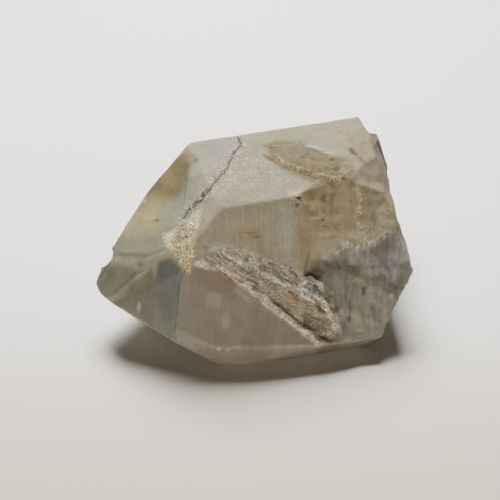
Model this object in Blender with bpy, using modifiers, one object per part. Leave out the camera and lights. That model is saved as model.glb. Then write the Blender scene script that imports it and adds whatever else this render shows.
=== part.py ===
"""A single quartz crystal, lying on one prism face, with a broken base end and a healed tip.

The crystal axis lies level and runs to the tip at -X, turned a little towards -Y. The growth faces
follow quartz's own angles: prism faces every 60 degrees round the axis, and tip faces that lean
38.2 degrees from them. Broken surfaces are cut with rough balls, and the fused ridges and lumps of
actinolite and late quartz are joined on. Metres, +Z up, origin under the middle of the stone.
"""

import math

import bmesh
import bpy
from mathutils import Matrix, Vector, noise

NAME = "quartz_crystal"
UP = Vector((0, 0, 1))
RIGHT = Vector((1, 0, 0))
BACK = Vector((0, 1, 0))

AXIS_TURN = 16.5  # degrees that the crystal axis is turned from X
TIP_LEAN = 38.2  # degrees between a prism face and the tip face beside it
BLOCK = 0.1  # side of the block that the faces are cut from
EDGE_WEAR = 0.00022  # width of the worn edges
STAND = (-0.0002, -0.0050, 0.0)  # moves the stone so that its middle is over the origin

# Prism faces: angle round the axis from level at the front, and distance from the origin.
PRISM_FACES = {
    "top": (90, 0.0253),
    "front": (30, 0.0179),
    "back_top": (150, 0.0244),
    "back_low": (210, 0.0075),
}

# Tip faces beside the prism faces of the same angle.
TIP_FACES = {
    "upper": (90, 0.0238),
}

# Uneven growth faces and breaks: azimuth and elevation of the normal, and distance.
OTHER_FACES = {
    "front_tip": (-90.3, 9.8, 0.0156),
    "left_tip": (-112.6, 12.1, 0.0190),
    "crust": (-133.8, 33.2, 0.0232),
    "tip_chip": (-151.1, 39.2, 0.0242),
    "tip_end": (-162.0, -11.5, 0.0225),
    "back_tip_upper": (144.5, 22.4, 0.0230),
    "back_tip_lower": (137.9, -7.1, 0.0139),
    "under_tip": (-140.6, -49.4, 0.0084),
    "under_back": (170.0, -63.0, 0.0034),
    "front_lip": (-89.8, -10.2, 0.0142),
    "under_front": (-76.0, -39.4, 0.0107),
    "end_upper": (4.4, 17.8, 0.0279),
    "end_lower": (5.5, -33.8, 0.0139),
}


def mm(x, y, z):
    return Vector((x, y, z)) / 1000


def from_angles(azimuth, elevation):
    """Unit vector at this azimuth and elevation, in degrees."""
    flat = math.cos(math.radians(elevation))
    turn = math.radians(azimuth)
    return Vector((flat * math.cos(turn), flat * math.sin(turn), math.sin(math.radians(elevation))))


def prism_normal(angle):
    """Normal of the prism face at this angle round the crystal axis."""
    level = from_angles(AXIS_TURN - 90, 0)
    turn = math.radians(angle)
    return math.cos(turn) * level + math.sin(turn) * UP


def tip_normal(angle):
    """Normal of the tip face beside the prism face at this angle."""
    axis = from_angles(180 + AXIS_TURN, 0)
    lean = math.radians(TIP_LEAN)
    return math.cos(lean) * prism_normal(angle) + math.sin(lean) * axis


def all_faces():
    """Every flat face as its normal and its distance from the origin."""
    faces = [(prism_normal(angle), reach) for angle, reach in PRISM_FACES.values()]
    faces += [(tip_normal(angle), reach) for angle, reach in TIP_FACES.values()]
    faces += [(from_angles(turn, lift), reach) for turn, lift, reach in OTHER_FACES.values()]
    faces.append((-UP, 0.0))
    return faces


def slice_block(mesh, normal, reach):
    """Cuts off everything beyond one face and closes the cut."""
    geometry = mesh.verts[:] + mesh.edges[:] + mesh.faces[:]
    bmesh.ops.bisect_plane(
        mesh,
        geom=geometry,
        dist=1e-7,
        plane_co=normal * reach,
        plane_no=normal,
        clear_outer=True,
    )
    open_edges = [edge for edge in mesh.edges if edge.is_boundary]
    bmesh.ops.holes_fill(mesh, edges=open_edges)


def cut_crystal():
    mesh = bmesh.new()
    bmesh.ops.create_cube(mesh, size=BLOCK)
    for normal, reach in all_faces():
        slice_block(mesh, normal, reach)
    bmesh.ops.remove_doubles(mesh, verts=mesh.verts, dist=1e-5)
    bmesh.ops.recalc_face_normals(mesh, faces=mesh.faces)
    return mesh


def roughness(point, grain, seed):
    """Uneven height from -1 to 1, with broad swells and finer steps on them."""
    place = point / grain + Vector((seed * 3.7, seed * 1.9, seed * 5.3))
    broad = noise.noise(place)
    fine = noise.noise(place * 2.6)
    steps = round(noise.noise(place * 1.3) * 4) / 4
    return 0.5 * broad + 0.25 * fine + 0.35 * steps


def face_frame(normal, along):
    """Turn that stands a shape on a face, its X as near to the given direction as it can be."""
    side = normal.cross(along).normalized()
    return Matrix((side.cross(normal), side, normal)).transposed().to_4x4()


def rough_ball(
    centre, size, normal=UP, along=RIGHT, square=0.0, rough=0.0003, grain=0.003, seed=1, fine=4, strand=1.0
):
    """Uneven ball, or rounded block where square nears 1. Size is its three half widths.

    A strand above 1 stretches the unevenness along the shape's own X.
    """
    mesh = bmesh.new()
    bmesh.ops.create_icosphere(mesh, subdivisions=fine, radius=1)
    power = 2 + 4 * square
    for vert in mesh.verts:
        reach = sum(abs(value) ** power for value in vert.co) ** (1 / power)
        vert.co = vert.co / reach * size
    mesh.normal_update()
    for vert in mesh.verts:
        sample = Vector((vert.co.x / strand, vert.co.y, vert.co.z))
        vert.co += vert.normal * rough * roughness(sample, grain, seed)
    place = Matrix.Translation(centre) @ face_frame(normal.normalized(), along)
    bmesh.ops.transform(mesh, matrix=place, verts=mesh.verts)
    return mesh


def rough_bar(start, end, width, height, normal, square=0.3, rough=0.0002, grain=0.0015, seed=1):
    """Long rough lump between two points, for a ridge or a trough."""
    along = end - start
    size = Vector((along.length / 2, width / 2, height / 2))
    return rough_ball((start + end) / 2, size, normal, along, square, rough, grain, seed, 4, 3.5)


def add_object(name, mesh, collection, holder):
    data = bpy.data.meshes.new(name)
    mesh.to_mesh(data)
    mesh.free()
    item = bpy.data.objects.new(name, data)
    item.parent = holder
    collection.objects.link(item)
    return item


def add_tool(stone, name, mesh, collection, operation):
    """Adds a helper solid and lets the stone be cut by it or joined with it."""
    tool = add_object(name, mesh, collection, stone.parent)
    tool.hide_render = True
    tool.display_type = "WIRE"
    modifier = stone.modifiers.new(name, "BOOLEAN")
    modifier.operation = operation
    modifier.solver = "EXACT"
    modifier.object = tool


def cuts():
    """Rough hollows and breaks, by name."""
    front = prism_normal(30)
    edge = (front + from_angles(-90.3, 9.8)).normalized()
    end_upper = from_angles(4.4, 17.8)
    end_lower = from_angles(5.5, -33.8)
    return {
        "corner_break": rough_ball(
            mm(18.3, -5.8, 21.6), mm(11.8, 10.4, 3.4), mm(33, -68, 65), RIGHT, 0.35, 0.0009, 0.0042, 3, 5
        ),
        "edge_trough": rough_bar(
            mm(2.6, -13.8, 13.9), mm(14.8, -15.1, 4.9), 0.0042, 0.0030, edge, 0.3, 0.0007, 0.002, 4
        ),
        "rough_side": rough_ball(
            mm(17.6, -11.0, 11.8), mm(9.4, 8.4, 2.6), mm(15, -84, 50), RIGHT, 0.45, 0.0008, 0.003, 5, 5
        ),
        "side_chip": rough_ball(
            mm(21.2, 2.2, 25.5), mm(6.5, 5.5, 2.5), mm(39, -27, 62), mm(5.2, 7.6, 0), 0.6, 0.0007, 0.0028, 18
        ),
        "top_chip": rough_ball(
            mm(20.4, 18.8, 26.0), mm(7.0, 7.0, 2.5), mm(85, 25, 46), BACK, 0.6, 0.0003, 0.0022, 19
        ),
        "tip_nick": rough_ball(mm(-23.2, -2.0, 12.3), mm(1.7, 1.6, 1.9), rough=0.0004, seed=6, fine=3),
        "end_nick": rough_ball(mm(23.9, -3.9, 18.6), mm(1.6, 1.8, 1.3), rough=0.0005, seed=9, fine=3),
        "end_upper_break": rough_ball(
            mm(22.1, 8, 18.6) + end_upper * 0.0040, mm(16, 11, 4.0), end_upper, BACK, 0.7, 0.0012, 0.0042, 7
        ),
        "end_lower_break": rough_ball(
            mm(19.9, 4, 6) + end_lower * 0.0040, mm(15, 8.5, 4.0), end_lower, BACK, 0.7, 0.0009, 0.0036, 10, 3
        ),
        "back_chip": rough_ball(
            mm(-2.0, 26.4, 15.4), mm(7.0, 4.0, 4.0), rough=0.0005, grain=0.003, seed=8
        ),
    }


def lumps():
    """Ridges and grains that grew on the faces, by name."""
    front = prism_normal(30)
    edge = (front + from_angles(-90.3, 9.8)).normalized()
    crust = from_angles(-133.8, 33.2)
    return {
        "upper_ridge": rough_bar(
            mm(-3.0, -10.7, 18.2), mm(13.6, -12.8, 7.4), 0.0030, 0.0014, front, 0.0, 0.0007, 0.0010, 11
        ),
        "end_ridge": rough_bar(
            mm(10.6, -11.4, 11.9), mm(13.4, -14.2, 5.8), 0.0014, 0.0010, front, 0.0, 0.0005, 0.0009, 12
        ),
        "lower_ridge": rough_bar(
            mm(-8.0, -12.2, 19.2), mm(10.4, -14.6, 5.4), 0.0013, 0.0016, edge, 0.0, 0.0005, 0.0009, 13
        ),
        "etched_patch": rough_ball(
            mm(-3.2, -11.2, 18.3), mm(5.4, 2.4, 0.6), front, mm(13, -1, -8), 0.0, 0.0004, 0.0009, 17, 4, 3.0
        ),
        "needles_upper": rough_ball(
            mm(9.7, -11.0, 12.9), mm(2.2, 1.2, 0.4), front, mm(9, -1, -4), 0.0, 0.0008, 0.0011, 14, 3
        ),
        "needles_lower": rough_ball(
            mm(11.0, -12.5, 9.9), mm(1.0, 1.4, 0.45), front, RIGHT, 0.0, 0.0006, 0.001, 15, 3
        ),
        "top_plate": rough_ball(
            mm(9.2, 6.1, 24.2), mm(7.7, 4.1, 1.7), mm(8, 16, 100), mm(8.1, -5.3, 0), 0.6, 0.0004, 0.0022, 2
        ),
        "crust": rough_ball(
            mm(-10.2, -9.8, 19.5), mm(2.6, 4.4, 0.45), crust, mm(8, -6, 1), 0.0, 0.0005, 0.0009, 16
        ),
    }


def quartz_material():
    material = bpy.data.materials.new("quartz")
    material.use_nodes = True
    shader = material.node_tree.nodes["Principled BSDF"]
    shader.inputs["Base Color"].default_value = (0.42, 0.39, 0.32, 1)
    shader.inputs["Roughness"].default_value = 0.5
    shader.inputs["Metallic"].default_value = 0.0
    return material


def clear_scene():
    for item in list(bpy.data.objects):
        bpy.data.objects.remove(item, do_unlink=True)


def new_collection(name):
    collection = bpy.data.collections.new(name)
    bpy.context.scene.collection.children.link(collection)
    return collection


def main():
    clear_scene()
    parts = new_collection("quartz_with_actinolite")
    tools = new_collection("cutters")
    holder = bpy.data.objects.new("stone_place", None)
    holder.location = STAND
    parts.objects.link(holder)
    stone = add_object(NAME, cut_crystal(), parts, holder)
    stone.data.materials.append(quartz_material())
    wear = stone.modifiers.new("worn_edges", "BEVEL")
    wear.width = EDGE_WEAR
    wear.segments = 1
    wear.limit_method = "NONE"
    for name, mesh in cuts().items():
        add_tool(stone, name, mesh, tools, "DIFFERENCE")
    for name, mesh in lumps().items():
        add_tool(stone, name, mesh, tools, "UNION")


main()
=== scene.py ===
import math

import bmesh
import bpy
import numpy as np
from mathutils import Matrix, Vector


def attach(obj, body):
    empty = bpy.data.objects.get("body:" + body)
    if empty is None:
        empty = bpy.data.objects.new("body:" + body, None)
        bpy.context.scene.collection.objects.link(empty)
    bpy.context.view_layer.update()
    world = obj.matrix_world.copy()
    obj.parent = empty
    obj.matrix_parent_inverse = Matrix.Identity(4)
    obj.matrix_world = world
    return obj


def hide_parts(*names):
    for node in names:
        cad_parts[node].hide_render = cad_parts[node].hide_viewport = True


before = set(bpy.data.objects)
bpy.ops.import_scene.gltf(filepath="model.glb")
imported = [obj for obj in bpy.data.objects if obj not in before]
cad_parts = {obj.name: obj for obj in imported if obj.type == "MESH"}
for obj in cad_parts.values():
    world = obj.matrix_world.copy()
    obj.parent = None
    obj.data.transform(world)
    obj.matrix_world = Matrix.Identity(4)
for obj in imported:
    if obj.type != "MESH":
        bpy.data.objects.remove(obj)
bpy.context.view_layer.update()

mainView = {
    "lift": 35.0,        # degrees above the horizon
    "distance": 0.300,
    "lens": 135.0,
    "sensor": 36.0,
    "nearest": 0.01,     # where the camera starts to see
    "aim": (-0.0002, -0.0050, 0.012),
    "frame": 500,        # the spots and outlines below are on this square frame
}


# small maths

def smooth(low, high, value):
    t = np.clip((value - low) / (high - low), 0, 1)
    return t * t * (3 - 2 * t)


cellMix = (73856093, 19349663, 83492791, 2654435761)    # large odd numbers that set near cells apart


def cornerValue(i, j, k, seed):
    # a value from -1 to 1 for a corner of a cell, the same each time
    h = (i * cellMix[0]) ^ (j * cellMix[1]) ^ (k * cellMix[2]) ^ (seed * cellMix[3])
    h = (h ^ (h >> 13)) * 1274126177 & 0xFFFFFFFF
    h = (h ^ (h >> 16)) * 2246822519 & 0xFFFFFFFF
    return ((h >> 8) & 0xFFFF) / 32767.5 - 1


def swell(points, size, seed):
    # smooth uneven field from -1 to 1, with features of about this size
    p = points / size
    cell = np.floor(p).astype(np.int64)
    f = p - cell
    f = f * f * (3 - 2 * f)
    total = 0
    for a in (0, 1):
        for b in (0, 1):
            for c in (0, 1):
                weight = (
                    (f[:, 0] if a else 1 - f[:, 0])
                    * (f[:, 1] if b else 1 - f[:, 1])
                    * (f[:, 2] if c else 1 - f[:, 2])
                )
                total = total + weight * cornerValue(cell[:, 0] + a, cell[:, 1] + b, cell[:, 2] + c, seed)
    return total


def layered(points, size, seed, layers=3):
    # finer and finer swells, each half as strong as the one before; three of them add up to 1.75
    total, part = 0, 1.0
    for n in range(layers):
        total = total + part * swell(points, size / 2**n, seed + 11 * n)
        part *= 0.5
    return total / 1.75


# the camera's own frame

def viewAxes():
    lift = math.radians(mainView["lift"])
    back = np.array([0, -math.cos(lift), math.sin(lift)])
    up = np.array([0, math.sin(lift), math.cos(lift)])
    return np.array([1.0, 0, 0]), up, back


def toFrame(points):
    right, up, back = viewAxes()
    eye = np.array(mainView["aim"]) + mainView["distance"] * back
    rel = points - eye
    scale = mainView["lens"] / mainView["sensor"] * mainView["frame"] / -(rel @ back)
    half = mainView["frame"] / 2
    return np.stack([half + scale * (rel @ right), half - scale * (rel @ up)], 1)


def fromLine(spots, line):
    # distance on the frame from each spot to a chain of points, and which side of the chain it is on
    best, side = np.full(len(spots), 1e9), np.zeros(len(spots))
    for start, end in zip(line[:-1], line[1:]):
        along = np.subtract(end, start, dtype=float)
        rel = spots - np.array(start, float)
        t = np.clip((rel @ along) / (along @ along), 0, 1)
        away = np.hypot(*(rel - t[:, None] * along).T)
        across = (rel[:, 0] * along[1] - rel[:, 1] * along[0]) / np.hypot(*along)
        closer = away < best
        best, side = np.where(closer, away, best), np.where(closer, across, side)
    return best, side


def insideOutline(spots, outline):
    # signed distance on the frame, above zero inside the outline
    ring = list(outline) + [outline[0]]
    away = fromLine(spots, ring)[0]
    inside = np.zeros(len(spots), bool)
    x, y = spots.T
    for (ax, ay), (bx, by) in zip(ring[:-1], ring[1:]):
        crosses = (ay > y) != (by > y)
        edge = (bx - ax) * (y - ay) / ((by - ay) or 1e-9) + ax     # no spot crosses a level stretch
        inside ^= crosses & (x < edge)
    return np.where(inside, away, -away)


# the stone's body

stone = {
    "voxel": 0.00027,
    "weld": 1e-7,        # corners closer than this become one
    "axisTurn": 16.5,    # degrees the crystal axis is turned from X
    "wear": 5,           # how many times the sharp edges are smoothed
    "wearStrength": 0.5,
    "scatter": 0.28,     # how much light goes in and comes out again
    "scatterDepth": 0.0015,
    "scatterColour": (1.0, 0.92, 0.78),
    "index": 1.544,
    "nickPlace": (-0.0234, -0.0070, 0.0123),
    "nickReach": (0.0015, 0.0040),
    "foot": 0.00005,     # the face it rests on stays flat up to this height
    "topAbove": 0.02,    # the top face is higher than this
    "flatEnough": 0.9995,
}

faces = {            # azimuth and elevation of each flat face's normal, and its plain colour
    "top": ((0, 79.2), (0.167, 0.154, 0.092)),
    "front": ((-73.5, 30), (0.262, 0.238, 0.161)),
    "upperTip": ((-163.5, 51.8), (0.241, 0.233, 0.119)),
    "frontTip": ((-90.3, 9.8), (0.101, 0.086, 0.058)),
    "leftTip": ((-112.6, 12.1), (0.103, 0.104, 0.079)),
    "tipChip": ((-151.1, 39.2), (0.088, 0.082, 0.056)),
    "crustFace": ((-133.8, 33.2), (0.255, 0.230, 0.155)),
    "lip": ((-89.8, -10.2), (0.199, 0.166, 0.127)),
}

stoneLook = {        # colours of what has no outline, and how strong they and the swells in the colour are
    "base": (0.215, 0.185, 0.130),
    "brokenEnd": (0.125, 0.104, 0.070),
    "brokenEndCover": 0.9,
    "plateWall": (0.270, 0.215, 0.125),
    "plateWallCover": 0.95,
    "tone": 0.07,
    "blotch": 0.14,
    "cloud": 0.7,
    "cloudLossOnEnd": 0.85,
    "seam": (0.085, 0.070, 0.045),
    "seamCover": 0.55,
    "seamWidth": (0.008, 0.030),
    "darkest": 0.004,
    "lightest": 0.9,
}

fields = {           # size, seed and layers of the swells that the colours and the gloss use
    "tone": (0.0055, 61, 4),
    "broken": (0.0010, 63, 3),
    "blotch": (0.0016, 65, 3),
    "tuft": (0.0007, 67, 2),
    "seam": (0.013, 77, 3),
    "gloss": (0.004, 79, 3),
}

areas = {            # in painting order: colour, how strongly it covers, softness of its border, outline
    "blueTip": ((0.168, 0.168, 0.116), 0.6, 6, [(187, 178), (204, 178), (212, 190), (196, 204), (186, 214),
        (184, 226), (166, 228), (158, 218), (162, 206), (176, 198)]),
    "tipRim": ((0.219, 0.203, 0.124), 0.85, 5, [(186, 140), (197, 146), (208, 168), (218, 190), (226, 208),
        (214, 206), (203, 192), (192, 178), (188, 162)]),
    "stain": ((0.071, 0.049, 0.007), 0.88, 5, [(185, 155), (192, 165), (189, 178), (184, 188), (178, 197),
        (166, 204), (150, 209), (139, 210), (140, 200), (150, 185), (160, 172), (172, 159)]),
    "lowStain": ((0.286, 0.235, 0.082), 0.6, 9, [(150, 196), (168, 200), (160, 214), (158, 232), (128, 236),
        (120, 228), (136, 206)]),
    "cornerBuff": ((0.12, 0.086, 0.036), 0.7, 3, [(185, 154), (193, 151), (199, 155), (198, 162), (190, 164),
        (185, 160)]),
    "paleTip": ((0.138, 0.128, 0.088), 0.6, 4, [(212, 196), (232, 194), (236, 203), (222, 210), (214, 214)]),
    "brownCorner": ((0.2, 0.155, 0.095), 0.8, 3, [(198, 202), (213, 196), (220, 206), (214, 222), (200, 234),
        (196, 250), (193, 236), (193, 214)]),
    "oliveTip": ((0.072, 0.071, 0.045), 0.8, 5, [(90, 286), (108, 262), (128, 266), (142, 272), (126, 290),
        (106, 300)]),
    "tipBelow": ((0.089, 0.085, 0.056), 0.8, 4, [(118, 300), (134, 282), (152, 268), (158, 284), (156, 318),
        (140, 314)]),
    "bluePanel": ((0.076, 0.081, 0.073), 0.85, 3, [(158, 262), (170, 258), (180, 266), (182, 274), (176, 324),
        (164, 326), (158, 300), (156, 278)]),
    "warmTop": ((0.101, 0.058, 0.018), 0.8, 7, [(192, 263), (220, 260), (240, 280), (236, 296), (206, 288),
        (192, 276)]),
    "brownRight": ((0.093, 0.069, 0.035), 0.6, 8, [(256, 300), (280, 316), (314, 341), (286, 346), (258, 344),
        (250, 320)]),
    # the pale lip: partly its own cloudier stone, partly painted light from the bright floor below
    "paleLitLip": ((0.22, 0.191, 0.145), 0.8, 2.5, [(176, 330), (196, 340), (214, 347), (318, 345), (316, 352),
        (262, 362), (214, 364), (176, 346)]),
    "blueBand": ((0.316, 0.296, 0.216), 0.6, 8, [(276, 200), (302, 193), (304, 214), (302, 262), (286, 262),
        (276, 240)]),
    "yellowPatch": ((0.27, 0.205, 0.11), 0.6, 3, [(236, 226), (264, 225), (266, 236), (246, 243),
        (234, 236)]),
    "leftOfCrack": ((0.173, 0.16, 0.119), 0.7, 4, [(194, 143), (236, 133), (240, 145), (228, 166), (212, 186),
        (204, 196), (198, 182), (190, 160)]),
    "frostTop": ((0.185, 0.167, 0.127), 0.5, 9, [(206, 160), (240, 150), (268, 160), (300, 182), (262, 190),
        (226, 197), (206, 186)]),
    "plate": ((0.082, 0.063, 0.027), 0.9, 4, [(263, 147), (268, 145), (277, 140), (291, 142), (304, 143),
        (311, 147), (328, 154), (337, 156), (352, 162), (356, 172), (349, 181), (341, 183), (323, 179),
        (313, 184), (296, 176), (281, 168), (272, 158)]),
    "plateGold": ((0.104, 0.074, 0.026), 0.7, 4, [(290, 164), (302, 160), (318, 164), (330, 172), (340, 172),
        (350, 166), (352, 176), (338, 182), (322, 177), (302, 171)]),
    "endStrip": ((0.081, 0.066, 0.041), 0.8, 2, [(372, 124), (382, 150), (394, 190), (400, 215), (408, 240),
        (420, 270), (406, 302), (390, 342), (381, 338), (392, 300), (402, 268), (392, 236), (385, 205),
        (375, 162), (368, 142)]),
    "sandyCorner": ((0.152, 0.118, 0.056), 0.7, 5, [(346, 140), (362, 126), (374, 140), (375, 154),
        (362, 166), (348, 156)]),
    "greyEdge": ((0.14, 0.115, 0.07), 0.9, 3, [(360, 166), (376, 152), (386, 164), (398, 207), (386, 206),
        (378, 195), (356, 190)]),
    "wedge": ((0.06, 0.045, 0.018), 0.9, 1.5, [(313, 185), (323, 179), (342, 183), (358, 182), (356, 191),
        (334, 190), (318, 188)]),
    # painted shade: the lowest strip under the dark side is darkened as shade
    "lipShade": ((0.095, 0.078, 0.052), 0.85, 3, [(318, 346), (340, 343), (384, 336), (390, 330), (394, 345),
        (340, 358), (316, 356)]),
    "goldSide": ((0.223, 0.184, 0.102), 0.85, 4, [(303, 206), (318, 214), (330, 236), (328, 252), (314, 276),
        (305, 268)]),
    "cornerBreak": ((0.278, 0.227, 0.133), 0.95, 7, [(304, 189), (318, 181), (346, 182), (372, 180),
        (392, 192), (396, 224), (386, 234), (360, 243), (338, 248), (322, 257), (310, 276), (299, 268),
        (297, 240), (299, 214)]),
    "duskCorner": ((0.189, 0.149, 0.073), 0.75, 6, [(306, 190), (326, 184), (338, 192), (330, 210),
        (318, 226), (306, 214)]),
    "glassPanel": ((0.246, 0.207, 0.113), 0.6, 6, [(332, 198), (352, 192), (357, 210), (354, 238), (340, 240),
        (330, 226)]),
    "mottledEnd": ((0.198, 0.17, 0.107), 0.7, 4, [(364, 186), (388, 190), (394, 214), (384, 232), (366, 238),
        (362, 214)]),
    "goldPatch": ((0.255, 0.195, 0.105), 0.6, 4, [(288, 191), (304, 187), (306, 203), (298, 207),
        (290, 203)]),
    "darkSide": ((0.198, 0.188, 0.148), 0.95, 2, [(312, 276), (322, 258), (337, 250), (346, 243), (360, 244),
        (378, 240), (388, 232), (398, 230), (416, 262), (408, 292), (384, 340), (342, 346), (337, 330),
        (334, 312), (324, 294), (316, 284)]),
    "duskSide": ((0.156, 0.136, 0.103), 0.65, 6, [(324, 262), (342, 250), (362, 250), (366, 272), (350, 306),
        (332, 292)]),
    "blueSide": ((0.099, 0.103, 0.098), 0.6, 6, [(368, 250), (384, 238), (400, 244), (408, 268), (402, 292),
        (388, 300), (372, 276)]),
    # painted shade: the foot of the dark side is darkened as shade
    "lowSideShade": ((0.162, 0.144, 0.102), 0.6, 3, [(344, 332), (384, 326), (384, 342), (342, 348)]),
    "band": ((0.234, 0.201, 0.142), 0.9, 3, [(200, 262), (208, 256), (228, 248), (246, 253), (272, 259),
        (290, 265), (302, 275), (318, 281), (326, 292), (337, 318), (338, 333), (330, 342), (318, 345),
        (300, 330), (272, 304), (240, 282), (220, 266)]),
    "bandLeft": ((0.272, 0.242, 0.18), 0.8, 6, [(200, 262), (210, 252), (246, 254), (262, 262), (256, 282),
        (238, 278), (220, 266)]),
    "bandGrey": ((0.178, 0.159, 0.119), 0.8, 3, [(258, 262), (276, 262), (292, 268), (304, 280), (296, 288),
        (276, 279), (262, 272)]),
    "channel": ((0.227, 0.197, 0.126), 0.95, 2, [(262, 281), (280, 288), (299, 297), (314, 306), (327, 320),
        (331, 330), (318, 330), (300, 319), (282, 303), (266, 290)]),
    "amberPit": ((0.19, 0.105, 0.035), 0.7, 2, [(289, 293), (297, 294), (301, 299), (296, 302), (289, 298)]),
    "footOfBand": ((0.208, 0.182, 0.133), 0.7, 3, [(312, 326), (334, 328), (338, 336), (320, 345),
        (306, 334)]),
    "whiteAround": ((0.527, 0.484, 0.383), 0.75, 2, [(297, 289), (305, 281), (322, 283), (327, 298),
        (337, 314), (339, 330), (333, 330), (328, 316), (314, 304), (300, 297)]),
    "tealUpper": ((0.175, 0.19, 0.16), 0.9, 1.5, [(304, 287), (310, 282), (317, 283), (323, 289), (323, 296),
        (317, 297), (311, 294)]),
    "tealLower": ((0.13, 0.145, 0.125), 0.9, 1.5, [(314, 304), (319, 303), (324, 308), (327, 315), (322, 314),
        (317, 310)]),
    "crust": ((0.382, 0.319, 0.157), 0.92, 3, [(195, 213), (203, 208), (202, 220), (195, 232), (195, 250),
        (193, 264), (190, 274), (184, 270), (176, 258), (167, 246), (163, 235), (173, 231), (184, 226),
        (190, 219)]),
    # only its place is used, for a lump
    "needleBed": ((0, 0, 0), 0, 1, [(296, 280), (306, 274), (324, 280), (332, 298), (328, 314), (314, 312),
        (302, 300)]),
}

smallSpots = [       # place on the frame, half widths, colour, strength
    (303, 157, 3.4, 2.0, (0.04, 0.026, 0.012), 0.65),
    (307, 154, 1.8, 1.4, (0.03, 0.02, 0.01), 0.7),
    (313, 159, 2.0, 1.5, (0.04, 0.026, 0.012), 0.6),
    (332, 159.5, 2.2, 2.0, (0.02, 0.012, 0.006), 0.8),
    (337, 168.5, 3.4, 2.4, (0.03, 0.017, 0.008), 0.75),
    (326, 167.5, 1.8, 1.8, (0.035, 0.022, 0.012), 0.6),
    (271, 147, 3, 1.6, (0.035, 0.022, 0.012), 0.8),
    (364, 143, 3, 2, (0.11, 0.07, 0.035), 0.6),
    (346, 169, 6, 6, (0.17, 0.138, 0.088), 0.6),
    (341, 181, 3, 1.6, (0.42, 0.36, 0.25), 0.8),
    (331, 177, 5, 1.4, (0.3, 0.23, 0.12), 0.7),
    (300, 168, 3, 1.4, (0.3, 0.22, 0.1), 0.8),
    (196.5, 202, 1.8, 1.6, (0.012, 0.01, 0.008), 0.95),
    (203, 194, 1.6, 3.0, (0.012, 0.01, 0.008), 0.95),
    (189.5, 208.5, 1.8, 1.5, (0.016, 0.012, 0.01), 0.95),
    (299, 198, 1.8, 1.4, (0.006, 0.005, 0.004), 0.95),
    (297, 205, 2.5, 2, (0.09, 0.055, 0.025), 0.7),
    (323.5, 198, 3.4, 4.4, (0.075, 0.052, 0.024), 0.6),
    (323.5, 211, 1.6, 1.2, (0.03, 0.02, 0.01), 0.7),
    (322.5, 219, 1.8, 1.1, (0.02, 0.012, 0.008), 0.75),
    (324.5, 226, 1.5, 1.2, (0.05, 0.032, 0.016), 0.6),
    (316, 218, 6, 1.2, (0.35, 0.3, 0.2), 0.5),
    (373, 216, 4, 5, (0.09, 0.06, 0.035), 0.6),
    (377, 193, 6, 4, (0.15, 0.085, 0.06), 0.5),
    (373, 228, 8, 6, (0.24, 0.19, 0.115), 0.6),
    (155, 220, 5, 2, (0.12, 0.08, 0.03), 0.6),
    (158, 220, 1.6, 1.4, (0.03, 0.018, 0.008), 0.8),
    (150, 218, 6, 2, (0.32, 0.27, 0.17), 0.6),
    (145, 201, 2, 2, (0.34, 0.3, 0.2), 0.6),
    (168, 178, 7, 9, (0.15, 0.108, 0.022), 0.6),
    (192, 157, 6, 3, (0.15, 0.1, 0.04), 0.7),
    (196, 160, 3, 2, (0.09, 0.05, 0.018), 0.7),
    (140, 264, 4, 3, (0.085, 0.058, 0.026), 0.6),
    (133, 262, 4, 3, (0.28, 0.24, 0.14), 0.6),
    (122, 262, 6, 3, (0.2, 0.175, 0.1), 0.5),
    (97, 290, 6, 8, (0.08, 0.07, 0.042), 0.5),
    (118, 304, 7, 4, (0.08, 0.066, 0.034), 0.6),
    (139, 308, 1.8, 4, (0.34, 0.32, 0.28), 0.7),
    (154, 296, 2, 10, (0.13, 0.08, 0.055), 0.6),
    (208, 216, 3, 7, (0.3, 0.27, 0.2), 0.3),
    (248, 233, 8, 1.2, (0.1, 0.078, 0.045), 0.6),
    (256, 237, 5, 1.2, (0.1, 0.078, 0.045), 0.6),
    (254, 245, 3, 2, (0.32, 0.28, 0.19), 0.5),
    (224, 349, 8, 3, (0.15, 0.13, 0.095), 0.6),
    (219, 349, 2, 1.4, (0.42, 0.39, 0.31), 0.7),
    (228, 350, 2, 1.4, (0.42, 0.39, 0.31), 0.7),
    (226, 322, 4, 7, (0.3, 0.245, 0.185), 0.4),
    (213, 300, 7, 8, (0.26, 0.215, 0.16), 0.35),
    (330, 311, 4, 8, (0.5, 0.41, 0.2), 0.8),
    (358, 322, 3, 9, (0.27, 0.2, 0.155), 0.75),
    (360, 330, 2, 2, (0.4, 0.36, 0.3), 0.7),
    (368, 276, 3, 12, (0.2, 0.175, 0.135), 0.5),
    (364, 290, 2, 5, (0.03, 0.028, 0.024), 0.7),
    (396, 288, 3, 2.5, (0.045, 0.04, 0.036), 0.8),
    (391, 297, 3, 3, (0.3, 0.26, 0.17), 0.7),
    (380, 293, 2.5, 5, (0.26, 0.24, 0.19), 0.5),
    (344, 256, 4, 8, (0.06, 0.04, 0.024), 0.6),
    (357, 268, 5, 10, (0.085, 0.07, 0.048), 0.5),
    (376, 311, 6, 9, (0.12, 0.108, 0.085), 0.5),
    (349, 312, 2.4, 12, (0.045, 0.04, 0.03), 0.75),
    (343, 331, 6, 8, (0.11, 0.098, 0.072), 0.6),
    (336, 310, 3, 3, (0.035, 0.034, 0.032), 0.6),
]

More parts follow.
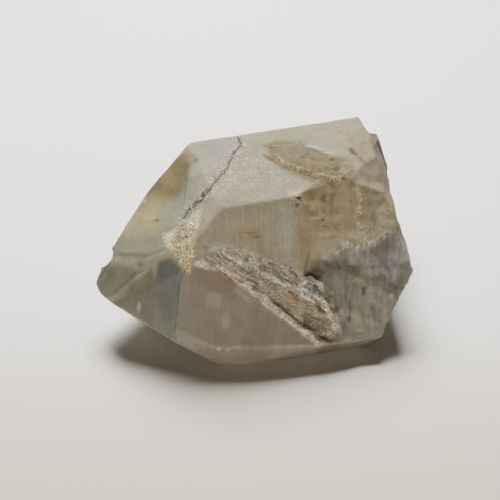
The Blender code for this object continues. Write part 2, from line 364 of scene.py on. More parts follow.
lines = {            # in painting order: inner and outer reach, colour, strength, how broken it is, points
    "topEdge": (0.5, 2.0, (0.17, 0.145, 0.1), 0.5, 0.6, [(222, 207), (250, 199), (280, 193), (300, 187),
        (318, 181)]),
    # gold flecks on the plate's near top edge, partly painted glints
    "plateEdgeGlints": (0.6, 2.4, (0.31, 0.258, 0.17), 0.7, 0.9, [(276, 155), (284, 161), (299, 169), (312, 173),
        (323, 177), (342, 182)]),
    "plateRim": (0.5, 1.4, (0.04, 0.03, 0.02), 0.7, 0.4, [(307, 146), (314, 150), (328, 156)]),
    # a pale streak on the plate's far rim: partly a fresh broken rim, partly a painted highlight
    "plateStreakGlint": (0.3, 1.5, (0.4, 0.36, 0.28), 0.8, 1.0, [(306, 144.5), (313, 146), (321, 149), (327, 152),
        (333, 153.5)]),
    "brownMark": (0.9, 3.4, (0.03, 0.018, 0.006), 0.9, 0.7, [(351, 150), (355, 154), (359, 158), (364, 163)]),
    "trough": (1.0, 3.5, (0.12, 0.07, 0.03), 0.3, 0.5, [(262, 283), (286, 296), (304, 310), (326, 328)]),
    # pale crests of the ridge: pale fibres, and partly painted highlight where the crests catch the light
    "upperCrestLit": (1.0, 3.5, (0.39, 0.342, 0.258), 0.6, 0.9, [(206, 250), (228, 249), (250, 254), (274, 262),
        (290, 268), (304, 278)]),
    "midCrestLit": (1.0, 3.6, (0.499, 0.444, 0.335), 0.75, 0.6, [(230, 258), (256, 270), (278, 281), (298, 290),
        (312, 299), (324, 306), (334, 320), (338, 332)]),
    "lowerCrestLit": (1.4, 5.4, (0.527, 0.456, 0.334), 0.85, 0.6, [(198, 263), (222, 268), (240, 281),
        (262, 298), (284, 316), (318, 342)]),
    "breakArc": (0.5, 2.0, (0.3, 0.25, 0.15), 0.6, 0.5, [(328, 200), (329, 222), (336, 236), (346, 242)]),
    "breakRidge": (1.0, 6.0, (0.345, 0.278, 0.17), 0.75, 0.9, [(357, 190), (361, 202), (358, 216), (360, 232),
        (364, 240)]),
    "ledge": (1.0, 4.0, (0.38, 0.34, 0.26), 0.7, 0.9, [(337, 251), (346, 244), (356, 247), (366, 245),
        (378, 243), (388, 233)]),
    "tipEdge": (0.5, 1.6, (0.26, 0.232, 0.165), 0.8, 0.3, [(166, 257), (156, 261), (146, 271), (134, 279),
        (122, 289), (113, 299)]),
    "tipRidge": (0.8, 3.0, (0.23, 0.2, 0.125), 0.4, 0.7, [(114, 255), (126, 259), (132, 265), (144, 265),
        (154, 259), (166, 256)]),
    # painted highlight: a paler line where the rounded lip catches the light
    "lipEdgeHighlight": (0.6, 2.2, (0.29, 0.26, 0.19), 0.5, 0.3, [(176, 328), (196, 340), (214, 347), (260, 348),
        (318, 345)]),
}

cracks = {           # half width on the frame, points
    "hair": (0.5, [(185, 271), (180, 282), (178, 300), (177, 314), (174.6, 330)]),
    "tipFissure": (0.4, [(187, 164), (186, 174), (186, 188), (184, 198)]),
    "healed": (1.05, [(236, 131), (239, 138), (241, 145), (234, 152), (229, 163), (228, 168), (220, 177),
        (210, 187), (204, 196), (198, 203), (190, 209), (184, 219)]),
}

needleSpots = [      # place on the frame, reach: the small dark clusters
    (320, 293, 2.4), (315, 286, 2.0), (317.5, 307, 2.0), (321, 310, 1.8), (323, 313.5, 1.4),
    (309.5, 288, 1.4), (232.5, 272, 1.6), (254.6, 286.7, 2.0), (263.5, 281, 1.6), (266.5, 282.2, 1.4),
    (266, 271, 1.8), (259.6, 266.7, 1.4), (289.6, 268.8, 1.8), (234.6, 254.6, 1.2), (246.7, 259, 1.2),
    (327, 320, 1.4), (196.5, 202, 1.8), (203, 193.6, 2.0), (189.5, 208.5, 1.6),
]

hiddenPatches = [    # size, seed, colour of the clouds on the faces behind
    (0.011, 71, (0.36, 0.335, 0.255)),
    (0.008, 73, (0.185, 0.135, 0.06)),
    (0.012, 75, (0.185, 0.19, 0.155)),
]

wander = [           # size, reach on the frame and seed of the waves that make every border uneven
    (0.004, 1.8, 3),
    (0.0011, 1.5, 7),
]

limits = {           # where each mask starts and where it is full
    "facing": (0.06, 0.32),          # how squarely a place faces the main view
    "flatFace": (0.93, 0.985),       # how near a normal is to its face's own
    "raised": (0.00005, 0.00022),    # height above the top face
    "wallTilt": (0.7, 0.92),
    "endPlace": (0.01, 0.018),
    "endNormal": (0.15, 0.4),
    "upward": (0.55, 0.95),
    "belowTop": (0.00002, 0.00016),
    "clouds": (0.0, 0.5),
    "spotEdge": (0.6, 1.4),
    "tuftGaps": (-0.45, 0.1),        # the gaps follow a swell from -1 to 1
    "lineGaps": (-0.35, 0.35),
    "seamGaps": (-0.3, 0.2),
    "crestGaps": (-0.2, 0.4),
}

stretch = {          # scales of a pattern's three axes, where a small number draws it out
    "striation": (1, 0.06, 0.06),
    "nick": (1, 0.7, 1),
    "ribs": (1, 0.5, 0.25),
    "blotch": (1, 0.7, 0.4),
    "strand": (0.14, 1, 0),
    "strandTone": (0.06, 0.4, 300),
}

relief = {           # height, size, seed, layers, then what the swell is added to and its share
    "frost": (0.000016, 0.0006, 21, 3, 0, 1),
    "striation": (0.000022, 0.0005, 31, 3, 0, 1),
    "nick": (0.0005, 0.0015, 57, 3, 0, 1),
    "etch": (0.00003, 0.0009, 33, 3, 0, 1),
    "break": (0.0001, 0.0022, 41, 4, 0, 1),
    "ridge": (0.00022, 0.0009, 42, 3, 0.6, 0.6),
    "darkSide": (0.00018, 0.0008, 43, 4, 0, 1),
    "plate": (0.00014, 0.001, 45, 4, 0, 1),
    "strand": (0.00016, 2.6, 47, 3, 0, 1),
    "bandGrain": (0.00008, 0.0007, 49, 3, 0, 1),
    "crust": (0.00003, 0.0006, 51, 3, 0.3, 1),
    "healed": (0.00022, 0.0007, 53, 3, 0.6, 0.6),
    "hidden": (0.0001, 0.003, 55, 4, 0, 1),
}

pressed = [          # outline, face it lies on, how much of its height goes
    ("crust", "crustFace", 0.92),
    ("needleBed", "front", 0.6),
]

details = {          # outline and its softness, or line and its reach; then how much of the detail
    "ridge": [("breakRidge", (1, 4), 1.0), ("breakArc", (0.5, 2.5), 0.7), ("ledge", (1, 4), 1.0)],
    "blotches": [("darkSide", 3, 1.0), ("plate", 2, 0.8), ("mottledEnd", 3, 0.7)],
    "crests": [("upperCrestLit", (1, 5), 1.0), ("midCrestLit", (1, 5), 1.0), ("lowerCrestLit", (1, 5), 1.0)],
    "specks": [("healed", (1, 5), 1.0), ("trough", (3, 8), 0.6), ("plate", 2, 0.55), ("band", 3, 0.45),
               ("mottledEnd", 4, 0.25), ("darkSide", 3, 0.12)],
    "needles": [("tealUpper", 1.5, 0.72), ("tealLower", 1.5, 0.8)],
    "flecksAndGlints": [("crust", 3, 1.0), ("upperCrestLit", (1, 5), 0.55), ("midCrestLit", (1, 5), 0.55),
               ("lowerCrestLit", (1, 5), 0.55), ("breakRidge", (1, 4), 0.6), ("ledge", (1, 4), 0.6),
               ("plateEdgeGlints", (1, 4), 0.6), ("healed", (3, 12), 0.7), ("frostTop", 8, 0.38),
               ("whiteAround", 2, 0.4), ("band", 3, 0.45), ("plateGold", 4, 0.55), ("plate", 4, 0.2),
               ("darkSide", 3, 0.1), ("mottledEnd", 3, 0.22), ("goldPatch", 2, 0.4)],
    "grains": [("crust", 2, 0.6), ("healed", (1, 5), 0.3)],
    "strands": [("band", 3, 1.0), ("lowerCrestLit", (2, 7), 0.7)],
    "dull": [("plate", 3, 1.0), ("greyEdge", 3, 1.0), ("wedge", 3, 1.0), ("endStrip", 3, 1.0)],
}

gloss = {            # roughness of the plain stone, and what each area adds or takes away
    "plain": 0.5,
    "upward": 0.4,
    "crust": 0.2,
    "band": 0.12,
    "polish": 0.13,
    "darkSide": 0.05,
    "dull": 0.4,
    "hidden": 0.1,
    "hiddenSwell": 0.04,
    "brokenEnd": 0.25,
}

clearness = {        # how much of the light passes through, for the plain stone and what each area adds
    "plain": 0.04,
    "hidden": 0.14,
    "cornerBreak": 0.08,
    "darkSide": 0.05,
    "bluePanel": 0.1,
    "paleLitLip": 0.1,
    "tipChip": 0.1,
    "most": 0.45,
}


def faceNormal(name):
    a, e = (math.radians(angle) for angle in faces[name][0])
    return np.array([math.cos(e) * math.cos(a), math.cos(e) * math.sin(a), math.sin(e)])


def fineBody(node):
    # a merged copy of the solid, remeshed finely and drawn back onto the solid's own faces
    mesh = node.data.copy()
    work = bmesh.new()
    work.from_mesh(mesh)
    bmesh.ops.remove_doubles(work, verts=work.verts, dist=stone["weld"])
    work.to_mesh(mesh)
    work.free()
    item = bpy.data.objects.new("quartzBody", mesh)
    bpy.context.scene.collection.objects.link(item)
    remesh = item.modifiers.new("fine", "REMESH")
    remesh.mode = "VOXEL"
    remesh.voxel_size = stone["voxel"]
    wrap = item.modifiers.new("onFaces", "SHRINKWRAP")
    wrap.target = node
    wrap.wrap_method = "NEAREST_SURFACEPOINT"
    soften = item.modifiers.new("wornEdges", "SMOOTH")
    soften.factor = stone["wearStrength"]
    soften.iterations = stone["wear"]
    graph = bpy.context.evaluated_depsgraph_get()
    fine = bpy.data.meshes.new_from_object(item.evaluated_get(graph))
    item.modifiers.clear()
    item.data = fine
    item.data.shade_smooth()
    return item


def vertexArrays(mesh):
    count = len(mesh.vertices)
    places, normals = np.empty(count * 3), np.empty(count * 3)
    mesh.vertices.foreach_get("co", places)
    mesh.vertices.foreach_get("normal", normals)
    return places.reshape(-1, 3), normals.reshape(-1, 3)


def keep(mesh, name, values, kind="FLOAT", part="value"):
    layer = mesh.attributes.new(name, kind, "POINT")
    layer.data.foreach_set(part, values.astype(np.float32).ravel())


def within(name, value):
    return smooth(*limits[name], value)


def levelOf(heights, straight, where=True):
    # the middle height of the places where a flat face points straight along its own direction
    return np.median(heights[(straight > stone["flatEnough"]) & where])


def readZones(places, normals):
    # every mask the shape and the colours are made from
    flat = toFrame(places)
    drift = sum(np.stack([layered(places, size, seed), layered(places, size, seed + 2)], 1) * reach
                for size, reach, seed in wander)
    spots = flat + drift
    facing = within("facing", normals @ viewAxes()[2])
    zones = {"spots": spots, "flat": flat, "facing": facing, "hidden": 1 - facing}
    for name in areas:
        zones[name] = insideOutline(spots, areas[name][-1])
    for name, row in (*lines.items(), *cracks.items()):
        zones[name + "Line"] = fromLine(spots, row[-1])[0]
    for name in faces:
        zones["face_" + name] = within("flatFace", normals @ faceNormal(name))
    topLevel = levelOf(places[:, 2], normals[:, 2], places[:, 2] > stone["topAbove"])
    raised = within("raised", places[:, 2] - topLevel)
    zones["plateWall"] = raised * (1 - within("wallTilt", normals[:, 2])) * facing
    zones["brokenEnd"] = within("endPlace", places[:, 0]) * within("endNormal", normals[:, 0])
    zones["behind"] = zones["hidden"] * (1 - zones["brokenEnd"])
    zones["upward"] = within("upward", normals[:, 2])
    zones["belowTop"] = within("belowTop", topLevel - places[:, 2])
    return zones


def cover(zones, name, soft):
    return smooth(-soft, soft, zones[name]) * zones["facing"]


def near(zones, name, inner, outer):
    return (1 - smooth(inner, outer, zones[name + "Line"])) * zones["facing"]


def strongest(zones, rows):
    # the strongest of several outlines and lines at each place
    best = 0
    for name, reach, gain in rows:
        amount = near(zones, name, *reach) if isinstance(reach, tuple) else cover(zones, name, reach)
        best = np.maximum(best, gain * amount)
    return best


def field(name, points):
    return layered(points, *fields[name])


def uneven(name, points):
    # one kind of relief all over the stone, in metres
    height, size, seed, layers, base, share = relief[name]
    return height * (base + share * layered(points, size, seed, layers))


def bandPlaces(spots, places):
    # places along and across the strands of the front ridge, and their height
    return np.stack([spots @ np.array([0.83, 0.55]), spots @ np.array([-0.55, 0.83]), places[:, 2]], 1)


def addRelief(mesh, places, normals, zones):
    turn = math.radians(stone["axisTurn"])
    axis = np.array([-math.cos(turn), -math.sin(turn), 0])
    side = np.array([math.sin(turn), -math.cos(turn), 0])
    own = np.stack([places @ axis, places @ side, places[:, 2]], 1)
    growth = zones["face_front"] + zones["face_frontTip"] + 0.5 * zones["face_leftTip"]
    height = uneven("frost", places)
    height += uneven("striation", own * stretch["striation"]) * (growth + 1.3 * zones["hidden"])
    fromNick = np.linalg.norm((places - stone["nickPlace"]) * stretch["nick"], axis=1)
    height += (1 - smooth(*stone["nickReach"], fromNick)) * uneven("nick", places)
    height += uneven("etch", places) * (zones["face_top"] + zones["face_upperTip"])
    height += cover(zones, "cornerBreak", 3) * uneven("break", places)
    height += strongest(zones, details["ridge"]) * uneven("ridge", places)
    # sharp ribs with shallow hollows between them
    ribs = np.abs(uneven("darkSide", places * stretch["ribs"])) * 1.6 - 0.4 * relief["darkSide"][0]
    height += cover(zones, "darkSide", 3) * ribs
    height += cover(zones, "plate", 2) * uneven("plate", places)
    strands = uneven("strand", bandPlaces(zones["spots"], places) * stretch["strand"])
    height += cover(zones, "band", 3) * (strands + uneven("bandGrain", places))
    height += cover(zones, "crust", 3) * uneven("crust", places)
    height -= near(zones, "healed", 0.5, 2.4) * uneven("healed", places)
    height += zones["hidden"] * uneven("hidden", places)
    moved = pressLumps(places, normals, zones) + normals * height[:, None]
    moved[:, 2] = np.maximum(moved[:, 2], 0)
    resting = places[:, 2] < stone["foot"]
    moved[resting] = places[resting]
    mesh.vertices.foreach_set("co", moved.ravel())
    mesh.update()


def pressLumps(places, normals, zones):
    # flattens the low lumps towards the face that carries them
    for name, face, amount in pressed:
        across = faceNormal(face)
        level = levelOf(places @ across, normals @ across)
        above = np.maximum(places @ across - level, 0)
        places = places - (above * amount * smooth(-4, 1, zones[name]))[:, None] * across
    return places


def mixTone(colour, tone, amount):
    amount = np.clip(amount, 0, 1)[:, None]
    return colour * (1 - amount) + np.array(tone) * amount


def paintTones(mesh, places, zones, broken):
    colour = np.tile(np.array(stoneLook["base"]), (len(places), 1))
    for name in faces:
        tone = np.array(faces[name][1])
        colour += zones["face_" + name][:, None] * (tone - colour)
    colour = mixTone(colour, stoneLook["brokenEnd"], zones["brokenEnd"] * stoneLook["brokenEndCover"])
    for name, row in areas.items():
        tone, strength, soft = row[:-1]
        amount = cover(zones, name, soft) * strength
        if name in ("tealUpper", "tealLower"):      # tufts with bare stone between them
            amount = amount * within("tuftGaps", field("tuft", places))
        if name == "cornerBreak":                   # ends where the top face starts
            amount = amount * zones["belowTop"]
        colour = mixTone(colour, tone, amount)
    colour = mixTone(colour, stoneLook["plateWall"], zones["plateWall"] * stoneLook["plateWallCover"])
    colour *= (1 + stoneLook["tone"] * field("tone", places))[:, None]
    blotches = strongest(zones, details["blotches"]) * field("blotch", places * stretch["blotch"])
    colour *= (1 + stoneLook["blotch"] * blotches)[:, None]
    colour = paintBehind(colour, places, zones, broken)
    for name, row in lines.items():
        inner, outer, tone, strength, breaks = row[:-1]
        amount = near(zones, name, inner, outer) * strength
        colour = mixTone(colour, tone, amount * (1 - breaks + breaks * within("lineGaps", broken)))
    for x, y, wide, tall, tone, strength in smallSpots:
        away = np.hypot((zones["flat"][:, 0] - x) / wide, (zones["flat"][:, 1] - y) / tall)
        away += 0.7 * broken
        colour = mixTone(colour, tone, (1 - within("spotEdge", away)) * zones["facing"] * strength)
    colour = np.clip(colour, stoneLook["darkest"], stoneLook["lightest"])
    colour = np.concatenate([colour, np.ones((len(colour), 1))], 1)
    keep(mesh, "tone", colour, "FLOAT_COLOR", "color")


def paintBehind(colour, places, zones, broken):
    # clouds and thin seams on the faces that the main view doesn't show, fewer on the broken end
    amount = zones["hidden"] * (1 - stoneLook["cloudLossOnEnd"] * zones["brokenEnd"]) * stoneLook["cloud"]
    for size, seed, tone in hiddenPatches:
        clouds = within("clouds", layered(places, size, seed, 4))
        colour = mixTone(colour, tone, amount * clouds)
    seams = 1 - smooth(*stoneLook["seamWidth"], np.abs(field("seam", places)))
    seams = seams * zones["hidden"] * within("seamGaps", broken)
    return mixTone(colour, stoneLook["seam"], seams * stoneLook["seamCover"])


def paintDetails(mesh, places, zones, broken):
    # how much of each fine detail the finish and the grains get at each place
    keep(mesh, "specks", strongest(zones, details["specks"]))
    needled = strongest(zones, details["needles"])
    for x, y, reach in needleSpots:
        away = np.hypot(zones["flat"][:, 0] - x, zones["flat"][:, 1] - y)
        needled = np.maximum(needled, (1 - smooth(reach * 0.5, reach * 1.2, away)) * zones["facing"])
    keep(mesh, "needles", needled)
    # painted glints on the frosted top faces
    frostGlints = 0.16 * zones["face_top"] + 0.10 * zones["face_upperTip"]
    keep(mesh, "flecksAndGlints", np.maximum(strongest(zones, details["flecksAndGlints"]), frostGlints))
    onCrests = 0.30 * strongest(zones, details["crests"]) * within("crestGaps", broken)
    keep(mesh, "grains", np.maximum(strongest(zones, details["grains"]), onCrests))
    streaked = zones["face_front"] + zones["face_frontTip"] + 0.6 * zones["face_leftTip"]
    keep(mesh, "streaks", np.clip(streaked + cover(zones, "darkSide", 3), 0, 1.5))
    strands = strongest(zones, details["strands"])
    keep(mesh, "strands", strands * (1 - 0.65 * cover(zones, "channel", 2)))
    along = bandPlaces(zones["spots"], places) * stretch["strandTone"]
    keep(mesh, "strandPlace", along, "FLOAT_VECTOR", "vector")


def paintCracks(mesh, zones):
    # the side, distance and half width of the nearest crack; the hairline alone doesn't wander
    count, farOff = len(zones["flat"]), 99.0
    side, away, wide = np.zeros(count), np.full(count, farOff), np.zeros(count)
    for name, (width, line) in cracks.items():
        lineAway, lineSide = fromLine(zones["flat" if name == "hair" else "spots"], line)
        closer = lineAway < away
        side, away = np.where(closer, lineSide, side), np.where(closer, lineAway, away)
        wide = np.where(closer, width, wide)
    keep(mesh, "crackSide", side)
    keep(mesh, "crackNear", away + zones["hidden"] * farOff)
    keep(mesh, "crackWidth", wide)


def paintGloss(mesh, places, zones):
    matte = gloss["plain"] + gloss["upward"] * zones["upward"]
    matte += gloss["crust"] * cover(zones, "crust", 4) + gloss["band"] * cover(zones, "band", 3)
    polished = np.maximum(cover(zones, "cornerBreak", 3) * zones["belowTop"], cover(zones, "goldSide", 3))
    matte -= gloss["polish"] * polished * (1 - 0.7 * cover(zones, "mottledEnd", 3))
    matte -= gloss["darkSide"] * cover(zones, "darkSide", 3)
    matte = np.clip(matte + gloss["dull"] * strongest(zones, details["dull"]), 0, 1)
    matte -= zones["behind"] * (gloss["hidden"] + gloss["hiddenSwell"] * field("gloss", places))
    keep(mesh, "matte", np.clip(matte + gloss["brokenEnd"] * zones["brokenEnd"], 0, 1))
    clear = clearness["plain"] + clearness["hidden"] * zones["behind"]
    for name in ("cornerBreak", "darkSide", "bluePanel", "paleLitLip"):
        clear += clearness[name] * cover(zones, name, 3)
    clear += clearness["tipChip"] * zones["face_tipChip"]
    keep(mesh, "clear", np.clip(clear, 0, clearness["most"]))


def paint(mesh, places, zones):
    broken = field("broken", places)
    paintTones(mesh, places, zones, broken)
    paintDetails(mesh, places, zones, broken)
    paintCracks(mesh, zones)
    paintGloss(mesh, places, zones)


# finishes

def newMaterial(name):
    material = bpy.data.materials.new(name)
    material.use_nodes = True
    tree = material.node_tree
    return material, tree, tree.nodes["Principled BSDF"]


def fill(tree, node, inputs):
    # an input takes another node's output or a plain value
    for name, value in inputs.items():
        if isinstance(value, bpy.types.NodeSocket):
            tree.links.new(value, node.inputs[name])
        else:
            node.inputs[name].default_value = value


def addNode(tree, kind, inputs=(), **settings):
    node = tree.nodes.new(kind)
    for name, value in settings.items():
        setattr(node, name, value)
    fill(tree, node, dict(inputs))
    return node


def stonePlace(tree):
    return addNode(tree, "ShaderNodeTexCoord").outputs["Object"]


def readAttribute(tree, name, output="Fac"):
    return addNode(tree, "ShaderNodeAttribute", attribute_name=name).outputs[output]


def mathNode(tree, operation, *values):
    return addNode(tree, "ShaderNodeMath", enumerate(values), operation=operation).outputs[0]


def times(tree, *values):
    return mathNode(tree, "MULTIPLY", *values)


def rangeNode(tree, value, low, high, outLow=0.0, outHigh=1.0):
    given = {"Value": value, "From Min": low, "From Max": high, "To Min": outLow, "To Max": outHigh}
    return addNode(tree, "ShaderNodeMapRange", given, interpolation_type="SMOOTHSTEP").outputs[0]


def noiseNode(tree, place, scale, detail=4.0, roughness=0.55):
    given = {"Vector": place, "Scale": scale, "Detail": detail, "Roughness": roughness}
    return addNode(tree, "ShaderNodeTexNoise", given).outputs["Fac"]


def cellNode(tree, place, scale):
    # one random value for each small angular cell
    cells = addNode(tree, "ShaderNodeTexVoronoi", {"Vector": place, "Scale": scale})
    return addNode(tree, "ShaderNodeSeparateColor", {0: cells.outputs["Color"]}).outputs[0]


def mixColour(tree, amount, base, colour):
    base, colour = ((*tone, 1) if isinstance(tone, tuple) else tone for tone in (base, colour))
    return addNode(tree, "ShaderNodeMix", {0: amount, 6: base, 7: colour}, data_type="RGBA").outputs[2]


def scaleColour(tree, colour, amount):
    given = {0: colour, "Scale": amount}
    return addNode(tree, "ShaderNodeVectorMath", given, operation="SCALE").outputs[0]


finish = {
    "veilScale": 420,
    "veilContrast": 0.14,
    "grainScale": 4200,
    "grainContrast": 0.17,
    "streakScale": 1900,
    "streakContrast": 0.17,
    "streakDraw": 0.09,                 # the smaller, the longer the streaks across the crystal
    "strandEdge": (0.40, 0.60),
    "strandSwing": 0.28,
    "strandContrast": 0.42,
    "strandDarkest": 0.2,
    "speckScale": 2600,
    "speckGain": 0.16,
    "speckEdge": (0.70, 0.76),
    "speckColour": (0.055, 0.045, 0.032),
    "flakeScale": 4400,                 # one flake is about 0.23 mm across
    "flakeRarity": 2.2,
    "flakeGain": 2.3,
    "flakeDark": 0.5,
    "needleScale": 1900,
    "needleEdge": (0.38, 0.50),
    "needleColour": (0.035, 0.050, 0.048),
    "wobbleScale": 1500,
    "wobble": 0.5,
    "crackEdge": (0.5, 1.6),
    "crackStrength": 0.9,
    "crackReach": (2.0, 3.0),
    "crackColour": (0.03, 0.028, 0.025),
    "grainGloss": 0.08,
    "flakeBump": 0.3,
    "bumpDepth": 0.00006,
    "bumpRange": (0.06, 0.8),           # from the polished places to the matte ones
    "polishedToMatte": (0.38, 0.50),
}

noiseSpan = (0.3, 0.7)      # nearly all of a noise lies between these


def contrast(tree, value, amount):
    return rangeNode(tree, value, *noiseSpan, 1 - amount, 1 + amount)


def quartzShade(tree, place, grain):
    # light and dark of the veils, the grain, the streaks on the growth faces and the ridge's strands
    veils = noiseNode(tree, place, finish["veilScale"], 6, 0.6)
    shade = times(tree, contrast(tree, veils, finish["veilContrast"]),
                  contrast(tree, grain, finish["grainContrast"]))
    turned = addNode(tree, "ShaderNodeMapping", {
        "Vector": place,
        "Rotation": (0, 0, math.radians(-stone["axisTurn"])),
        "Scale": (1, finish["streakDraw"], finish["streakDraw"]),
    })
    streak = noiseNode(tree, turned.outputs[0], finish["streakScale"], 4, 0.6)
    streak = mathNode(tree, "SUBTRACT", streak, 0.5)
    streak = times(tree, streak, readAttribute(tree, "streaks"))
    streak = mathNode(tree, "MULTIPLY_ADD", streak, 4 * finish["streakContrast"], 1.0)
    strand = noiseNode(tree, readAttribute(tree, "strandPlace", "Vector"), 1.0, 5, 0.65)
    swing = finish["strandSwing"]
    strand = rangeNode(tree, strand, *finish["strandEdge"], -swing, swing)
    strand = times(tree, strand, readAttribute(tree, "strands"))
    strand = mathNode(tree, "MULTIPLY_ADD", strand, 4 * finish["strandContrast"], 1.0)
    strand = mathNode(tree, "MAXIMUM", strand, finish["strandDarkest"])
    return times(tree, times(tree, shade, streak), strand)


def addSpecks(tree, place, colour):
    noise = noiseNode(tree, place, finish["speckScale"], 3, 0.6)
    dark = times(tree, readAttribute(tree, "specks"), finish["speckGain"])
    dark = rangeNode(tree, mathNode(tree, "ADD", noise, dark), *finish["speckEdge"])
    return mixColour(tree, dark, colour, finish["speckColour"])


def glitter(tree, place):
    # small flat flakes, most of them a little dark and a few very bright; partly pale grains, partly painted
    # glints of light
    flake = cellNode(tree, place, finish["flakeScale"])
    flake = mathNode(tree, "POWER", flake, finish["flakeRarity"])
    flake = times(tree, flake, finish["flakeGain"])
    flake = mathNode(tree, "SUBTRACT", flake, finish["flakeDark"])
    return times(tree, flake, readAttribute(tree, "flecksAndGlints"))


def addNeedleTint(tree, place, colour):
    noise = noiseNode(tree, place, finish["needleScale"], 3, 0.6)
    dark = times(tree, noise, readAttribute(tree, "needles"))
    dark = rangeNode(tree, dark, *finish["needleEdge"])
    return mixColour(tree, dark, colour, finish["needleColour"])


def addCracks(tree, place, colour):
    wobble = noiseNode(tree, place, finish["wobbleScale"], 3, 0.6)
    wobble = rangeNode(tree, wobble, *noiseSpan, -finish["wobble"], finish["wobble"])
    across = mathNode(tree, "ADD", readAttribute(tree, "crackSide"), wobble)
    across = mathNode(tree, "DIVIDE", mathNode(tree, "ABSOLUTE", across), readAttribute(tree, "crackWidth"))
    crack = times(tree,
                  rangeNode(tree, across, *finish["crackEdge"], finish["crackStrength"], 0.0),
                  rangeNode(tree, readAttribute(tree, "crackNear"), *finish["crackReach"], 1.0, 0.0))
    return mixColour(tree, crack, colour, finish["crackColour"])


def makeQuartz():
    material, tree, shader = newMaterial("cloudy quartz")
    place = stonePlace(tree)
    grain = noiseNode(tree, place, finish["grainScale"], 4, 0.7)
    flake = glitter(tree, place)
    colour = scaleColour(tree, readAttribute(tree, "tone", "Color"), quartzShade(tree, place, grain))
    colour = addSpecks(tree, place, colour)
    # the flakes brighten or darken the colour: pale grains and painted glints
    colour = scaleColour(tree, colour, mathNode(tree, "ADD", flake, 1.0))
    colour = addNeedleTint(tree, place, colour)
    colour = addCracks(tree, place, colour)
    matte = readAttribute(tree, "matte")
    bump = addNode(tree, "ShaderNodeBump", {
        "Distance": finish["bumpDepth"],
        "Strength": rangeNode(tree, matte, *finish["polishedToMatte"], *finish["bumpRange"]),
        "Height": mathNode(tree, "ADD", grain, times(tree, flake, finish["flakeBump"])),
    })
    speckle = rangeNode(tree, grain, *noiseSpan, -finish["grainGloss"], finish["grainGloss"])
    fill(tree, shader, {
        "Base Color": colour,
        "Roughness": mathNode(tree, "ADD", matte, speckle),
        "Transmission Weight": readAttribute(tree, "clear"),
        "Subsurface Weight": stone["scatter"],
        "Subsurface Radius": stone["scatterColour"],
        "Subsurface Scale": stone["scatterDepth"],
        "IOR": stone["index"],
        "Normal": bump.outputs[0],
    })
    return material


# the grains and needles that grew on it

grains = {
    "name": "crustGrains",
    "density": 4.5e7,
    "small": 0.00004,
    "large": 0.00011,
    "lean": (1.2, 1.2, 3.1),            # how far a grain may turn each way from the normal, in radians
    "seed": 4,
    "finish": "pale quartz grains",
    "patchScale": 900,
    "patchEdge": (0.3, 0.7),
    "colours": ((0.80, 0.69, 0.47), (0.36, 0.27, 0.14)),
    "roughness": 0.3,
    "index": 1.544,
}

needles = {
    "name": "actinoliteNeedles",
    "density": 2.4e7,
    "small": 0.00012,
    "large": 0.00036,
    "lean": (1.2, 1.2, 3.1),
    "seed": 9,
    "finish": "dark actinolite",
    "patchScale": 1400,
    "patchEdge": (0.35, 0.65),
    "colours": ((0.030, 0.042, 0.042), (0.10, 0.13, 0.12)),
    "roughness": 0.35,
    "index": 1.5,
}


def makeFinish(look):
    material, tree, shader = newMaterial(look["finish"])
    patches = noiseNode(tree, stonePlace(tree), look["patchScale"])
    colour = mixColour(tree, rangeNode(tree, patches, *look["patchEdge"]), *look["colours"])
    fill(tree, shader, {"Base Color": colour, "Roughness": look["roughness"], "IOR": look["index"]})
    return material


def scatterTree(look, attribute, shape):
    # strews copies of a shape over the stone, thickest where the attribute is high
    tree = bpy.data.node_groups.new(look["name"], "GeometryNodeTree")
    face = tree.interface
    face.new_socket("Geometry", in_out="INPUT", socket_type="NodeSocketGeometry")
    for label in ("Density", "Smallest", "Largest"):
        face.new_socket(label, in_out="INPUT", socket_type="NodeSocketFloat")
    face.new_socket("Seed", in_out="INPUT", socket_type="NodeSocketInt")
    face.new_socket("Geometry", in_out="OUTPUT", socket_type="NodeSocketGeometry")
    given = addNode(tree, "NodeGroupInput").outputs
    where = addNode(tree, "GeometryNodeInputNamedAttribute", {"Name": attribute}, data_type="FLOAT")
    amount = mathNode(tree, "POWER", where.outputs[0], 2.0)
    spread = addNode(tree, "GeometryNodeDistributePointsOnFaces", {
        "Mesh": given["Geometry"],
        "Density": times(tree, amount, given["Density"]),
        "Seed": given["Seed"],
    }).outputs
    size = {2: given["Smallest"], 3: given["Largest"], "Seed": given["Seed"]}
    size = addNode(tree, "FunctionNodeRandomValue", size, data_type="FLOAT")
    tilt = {0: [-angle for angle in look["lean"]], 1: look["lean"], "Seed": given["Seed"]}
    tilt = addNode(tree, "FunctionNodeRandomValue", tilt, data_type="FLOAT_VECTOR")
    turned = {0: spread["Rotation"], 1: tilt.outputs[0]}
    place = addNode(tree, "GeometryNodeInstanceOnPoints", {
        "Points": spread["Points"],
        "Instance": shape(tree),
        "Rotation": addNode(tree, "FunctionNodeRotateRotation", turned, rotation_space="LOCAL").outputs[0],
        "Scale": size.outputs[1],
    })
    real = addNode(tree, "GeometryNodeRealizeInstances", {0: place.outputs[0]})
    coat = {"Geometry": real.outputs[0], "Material": makeFinish(look)}
    coat = addNode(tree, "GeometryNodeSetMaterial", coat)
    addNode(tree, "NodeGroupOutput", {"Geometry": coat.outputs[0]})
    return tree


def grainShape(tree):
    ball = {"Radius": 1.0, "Subdivisions": 1}
    return addNode(tree, "GeometryNodeMeshIcoSphere", ball).outputs["Mesh"]


def needleShape(tree):
    rod = {"Vertices": 6, "Radius Top": 0.05, "Radius Bottom": 0.14, "Depth": 2.0}
    return addNode(tree, "GeometryNodeMeshCone", rod).outputs["Mesh"]


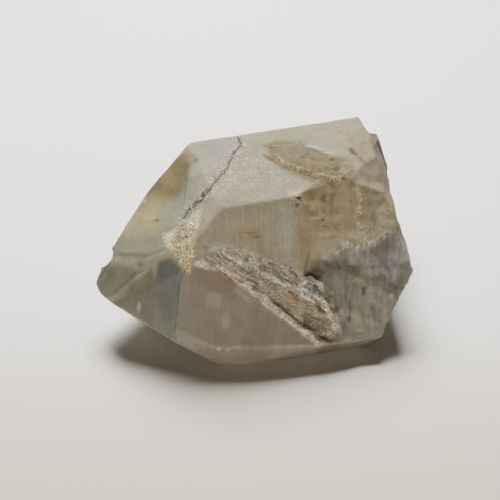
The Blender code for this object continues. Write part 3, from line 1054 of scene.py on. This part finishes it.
def scatter(body, look, attribute, shape):
    source = bpy.data.objects.new(look["name"], body.data.copy())
    bpy.context.scene.collection.objects.link(source)
    grow = source.modifiers.new("grow", "NODES")
    grow.node_group = scatterTree(look, attribute, shape)
    values = {
        "Density": look["density"],
        "Smallest": look["small"],
        "Largest": look["large"],
        "Seed": look["seed"],
    }
    for socket in grow.node_group.interface.items_tree:
        if socket.in_out == "INPUT" and socket.name in values:
            grow[socket.identifier] = values[socket.name]
    graph = bpy.context.evaluated_depsgraph_get()
    mesh = bpy.data.meshes.new_from_object(source.evaluated_get(graph))
    source.modifiers.clear()
    source.data = mesh
    print(look["name"], len(mesh.polygons), "faces")
    return source


# floor, light and camera

studio = {
    "floorReach": 1.5,
    "floorRoughness": 0.8,
    "floorColour": (0.78, 0.765, 0.740),
    # the front colour is painted shade: light falling off towards the front and the shadow before the stone
    "frontShadeColour": (0.62, 0.540, 0.440),
    "frontShadeReach": (-0.050, 0.005),       # painted shade, darker and warmer in front of the first place, plain behind the second
    "skyStrength": 0.045,
    "skyColour": (1.0, 0.91, 0.79),
}

lamps = [            # name, watts, width, height, place, colour
    ("overhead lamp", 3.0, 0.16, 0.16, (-0.018, 0.140, 0.25), (1.0, 0.98, 0.95)),
    ("front fill", 1.10, 0.40, 0.04, (-0.040, -0.370, 0.022), (1.0, 0.95, 0.87)),
]


def makeFloor():
    mesh = bpy.data.meshes.new("floor")
    work = bmesh.new()
    bmesh.ops.create_grid(work, x_segments=1, y_segments=1, size=studio["floorReach"])
    work.to_mesh(mesh)
    work.free()
    floor = bpy.data.objects.new("floor", mesh)
    bpy.context.scene.collection.objects.link(floor)
    material, tree, shader = newMaterial("pale floor")
    parts = addNode(tree, "ShaderNodeSeparateXYZ", {0: stonePlace(tree)})
    # painted shade: darker, warmer floor towards the front
    towards = rangeNode(tree, parts.outputs["Y"], *studio["frontShadeReach"], 1.0, 0.0)
    colour = mixColour(tree, towards, studio["floorColour"], studio["frontShadeColour"])
    fill(tree, shader, {"Base Color": colour, "Roughness": studio["floorRoughness"]})
    mesh.materials.append(material)
    return floor


def makeLight():
    world = bpy.data.worlds.new("soft room")
    world.use_nodes = True
    sky = world.node_tree.nodes["Background"]
    sky.inputs["Color"].default_value = (*studio["skyColour"], 1)
    sky.inputs["Strength"].default_value = studio["skyStrength"]
    bpy.context.scene.world = world
    for name, watts, width, height, place, colour in lamps:
        lamp = bpy.data.objects.new(name, bpy.data.lights.new(name, "AREA"))
        lamp.data.energy = watts
        lamp.data.shape = "RECTANGLE"
        lamp.data.size = width
        lamp.data.size_y = height
        lamp.data.color = colour
        lamp.location = place
        lamp.rotation_euler = Vector(place).to_track_quat("Z", "Y").to_euler()
        bpy.context.scene.collection.objects.link(lamp)


def makeCamera():
    camera = bpy.data.objects.new("main camera", bpy.data.cameras.new("main camera"))
    camera.data.lens = mainView["lens"]
    camera.data.sensor_width = mainView["sensor"]
    camera.data.clip_start = mainView["nearest"]
    back = Vector(viewAxes()[2])
    camera.location = Vector(mainView["aim"]) + back * mainView["distance"]
    camera.rotation_euler = back.to_track_quat("Z", "Y").to_euler()
    bpy.context.scene.collection.objects.link(camera)
    bpy.context.scene.camera = camera


def main():
    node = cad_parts["quartz_crystal"]
    body = fineBody(node)
    print("body", len(body.data.polygons), "faces")
    places, normals = vertexArrays(body.data)
    zones = readZones(places, normals)
    addRelief(body.data, places, normals, zones)
    paint(body.data, places, zones)
    body.data.materials.clear()
    body.data.materials.append(makeQuartz())
    print("body painted")
    crust = scatter(body, grains, "grains", grainShape)
    tufts = scatter(body, needles, "needles", needleShape)
    for piece in (body, crust, tufts):
        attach(piece, "root")
    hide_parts("quartz_crystal")
    makeFloor()
    makeLight()
    makeCamera()
    print("floor, light and camera ready")


main()
